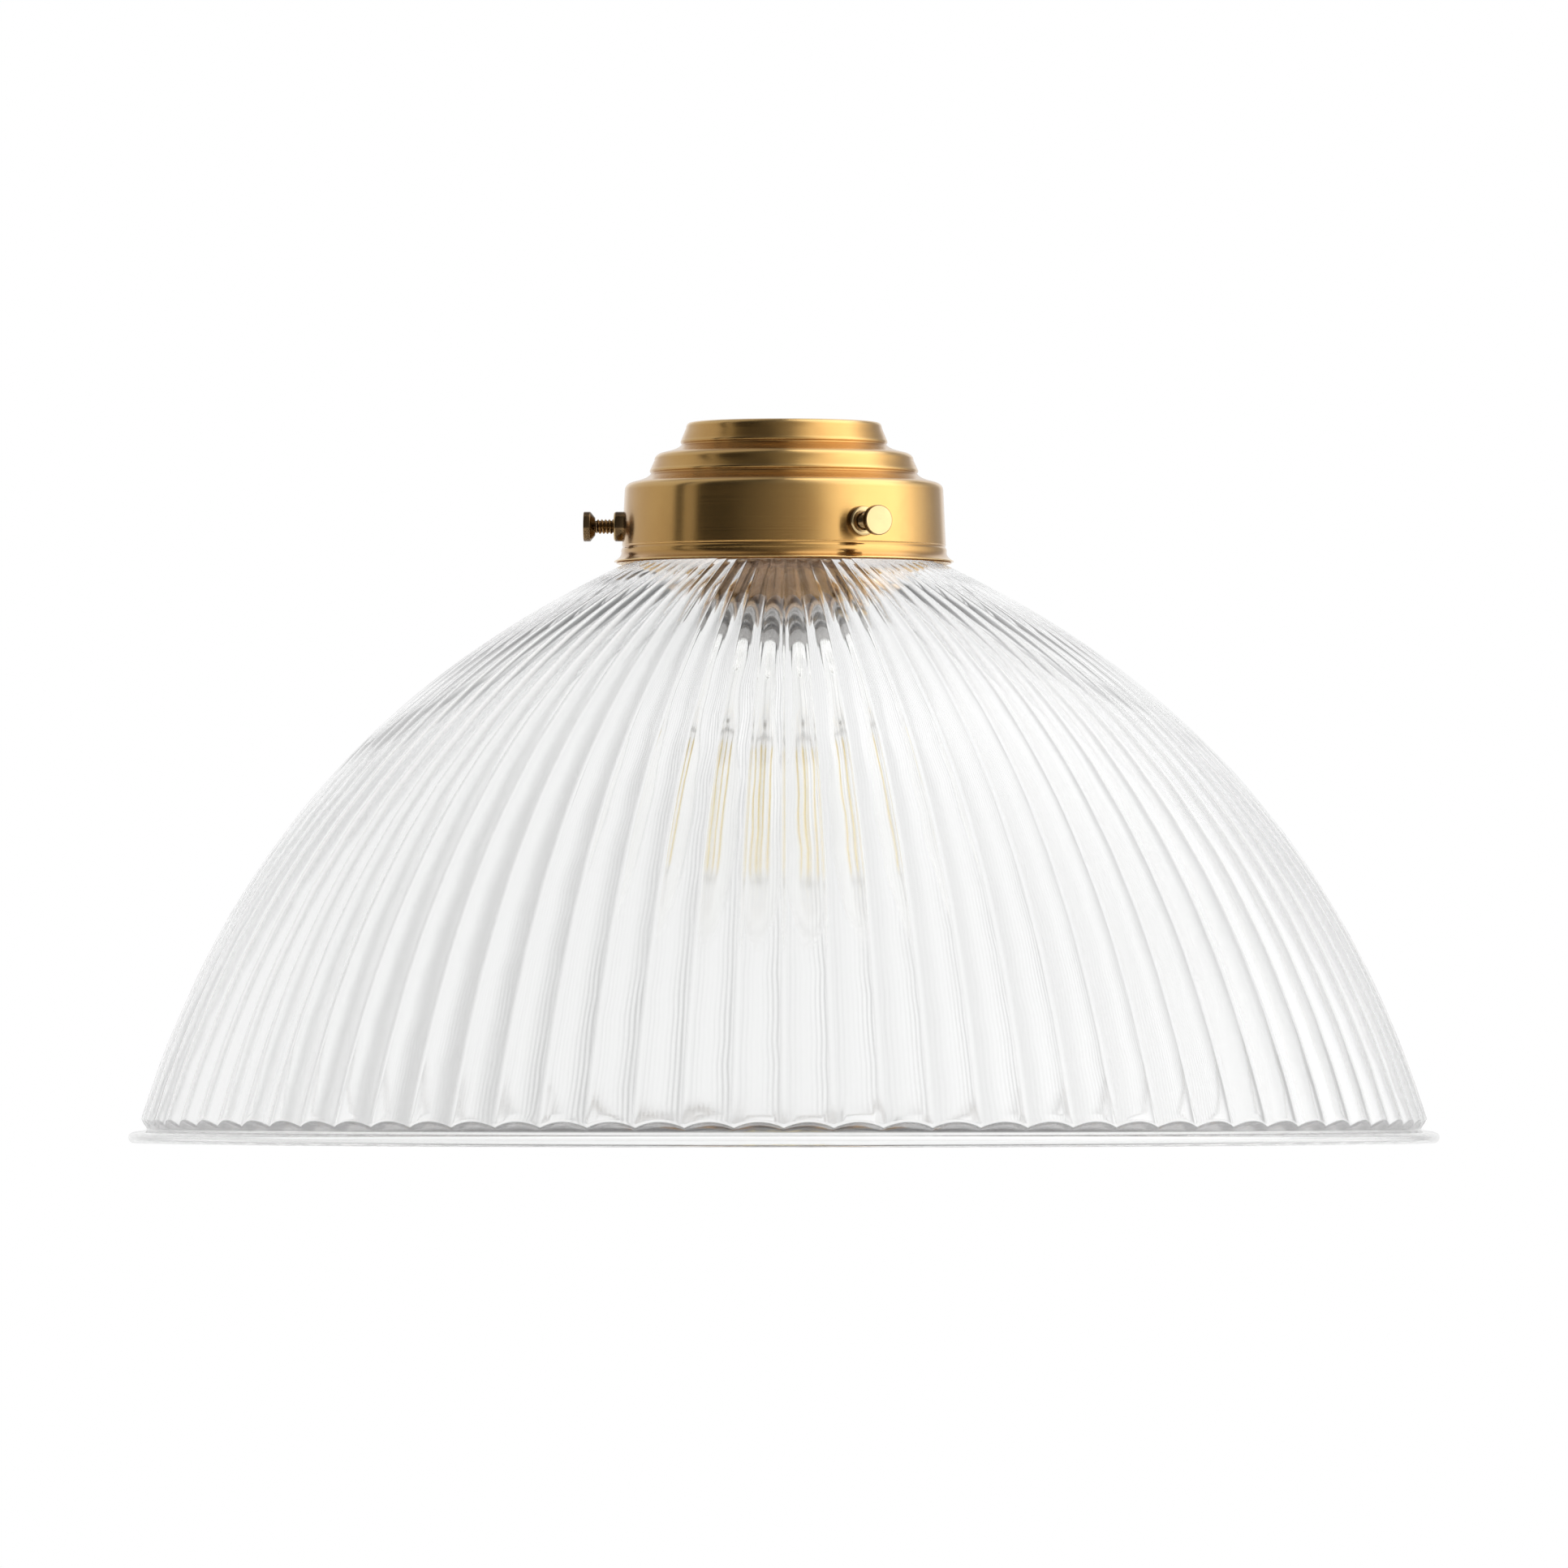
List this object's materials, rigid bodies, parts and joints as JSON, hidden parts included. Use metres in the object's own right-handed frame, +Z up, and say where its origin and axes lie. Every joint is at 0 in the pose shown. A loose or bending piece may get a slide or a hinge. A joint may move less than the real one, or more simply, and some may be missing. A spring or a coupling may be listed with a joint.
{
  "type": "pendant light",
  "caption": "Pendant light with a ribbed clear glass dome shade held in a stepped brass gallery by thumb screws, with a lampholder and a filament bulb inside.",
  "frame": {"origin": "centre of the flat top face of the brass gallery, on the light's axis, where the cord or stem enters", "axes": "+Z up along the light's axis, away from the shade; the picture looks along +Y with +X to the right"},
  "size_m": [0.35, 0.35, 0.1926],
  "materials": {
    "shade_glass": "clear pressed glass, polished, ribbed outside",
    "brass": "satin antique brass, brushed round the axis",
    "screw_brass": "turned brass, brighter on the faces",
    "holder_brass": "darkened brass",
    "contact_brass": "bare stamped brass",
    "porcelain": "glazed white porcelain",
    "plated_steel": "bright nickel plate",
    "bulb_cap_metal": "bright rolled aluminium",
    "black_glass": "black glass insulator",
    "bulb_glass": "thin clear blown glass",
    "phosphor": "pale yellow phosphor coat",
    "nylon": "moulded natural nylon"
  },
  "bodies": {
    "root": {"glass_shade": "shade_glass", "gallery_body": "brass", "suspension_bush": "brass", "bush_locknut": "brass", "screw_boss_1": "brass", "screw_boss_2": "brass", "screw_boss_3": "brass", "lampholder_cap": "holder_brass", "lampholder_skirt": "holder_brass", "lampholder_core": "porcelain", "socket_shell": "contact_brass", "centre_contact": "contact_brass", "live_terminal": "contact_brass", "neutral_terminal": "contact_brass", "earth_terminal": "contact_brass", "live_screw": "plated_steel", "neutral_screw": "plated_steel", "earth_screw": "plated_steel"},
    "screw_1_tip": {"screw_tip_1": "nylon"},
    "screw_1": {"thumb_screw_1": "screw_brass"},
    "screw_2_tip": {"screw_tip_2": "nylon"},
    "screw_2": {"thumb_screw_2": "screw_brass"},
    "screw_3_tip": {"screw_tip_3": "nylon"},
    "screw_3": {"thumb_screw_3": "screw_brass"},
    "bulb_centre": {"bulb_contact": "bulb_cap_metal"},
    "bulb": {"filament_frame_upper": "plated_steel", "filament_frame_lower": "plated_steel", "bulb_cap": "bulb_cap_metal", "bulb_insulator": "black_glass", "bulb_envelope": "bulb_glass", "bulb_stem": "bulb_glass", "filament_1": "phosphor", "filament_2": "phosphor", "filament_3": "phosphor", "filament_4": "phosphor"}
  },
  "joints": [
    {"name": "screw_1_travel", "type": "slide", "parent": "root", "child": "screw_1_tip", "axis": [0.4695, -0.8829, 0], "range_m": [0, 0.004]},
    {"name": "screw_1_turn", "type": "hinge", "parent": "screw_1_tip", "child": "screw_1", "pos_m": [0.02113, -0.03973, -0.0278], "axis": [0.4695, -0.8829, 0], "range_deg": [0, 1440]},
    {"name": "screw_2_travel", "type": "slide", "parent": "root", "child": "screw_2_tip", "axis": [0.5299, 0.848, 0], "range_m": [0, 0.004]},
    {"name": "screw_2_turn", "type": "hinge", "parent": "screw_2_tip", "child": "screw_2", "pos_m": [0.02385, 0.03816, -0.0278], "axis": [0.5299, 0.848, 0], "range_deg": [0, 1440]},
    {"name": "screw_3_travel", "type": "slide", "parent": "root", "child": "screw_3_tip", "axis": [-0.9994, 0.0349, 0], "range_m": [0, 0.004]},
    {"name": "screw_3_turn", "type": "hinge", "parent": "screw_3_tip", "child": "screw_3", "pos_m": [-0.04497, 0.00157, -0.0278], "axis": [-0.9994, 0.0349, 0], "range_deg": [0, 1440]},
    {"name": "bulb_travel", "type": "slide", "parent": "root", "child": "bulb_centre", "axis": [0, 0, -1], "range_m": [0, 0.01448]},
    {"name": "bulb_turn", "type": "hinge", "parent": "bulb_centre", "child": "bulb", "pos_m": [0, 0, -0.06], "axis": [0, 0, -1], "range_deg": [0, 1440]}
  ],
  "couplings": [
    {"joint": "screw_1_turn", "follows": "screw_1_travel", "rad_per_m": 6283.2},
    {"joint": "screw_2_turn", "follows": "screw_2_travel", "rad_per_m": 6283.2},
    {"joint": "screw_3_turn", "follows": "screw_3_travel", "rad_per_m": 6283.2},
    {"joint": "bulb_travel", "follows": "bulb_turn", "m_per_rad": 0.00057614}
  ]
}
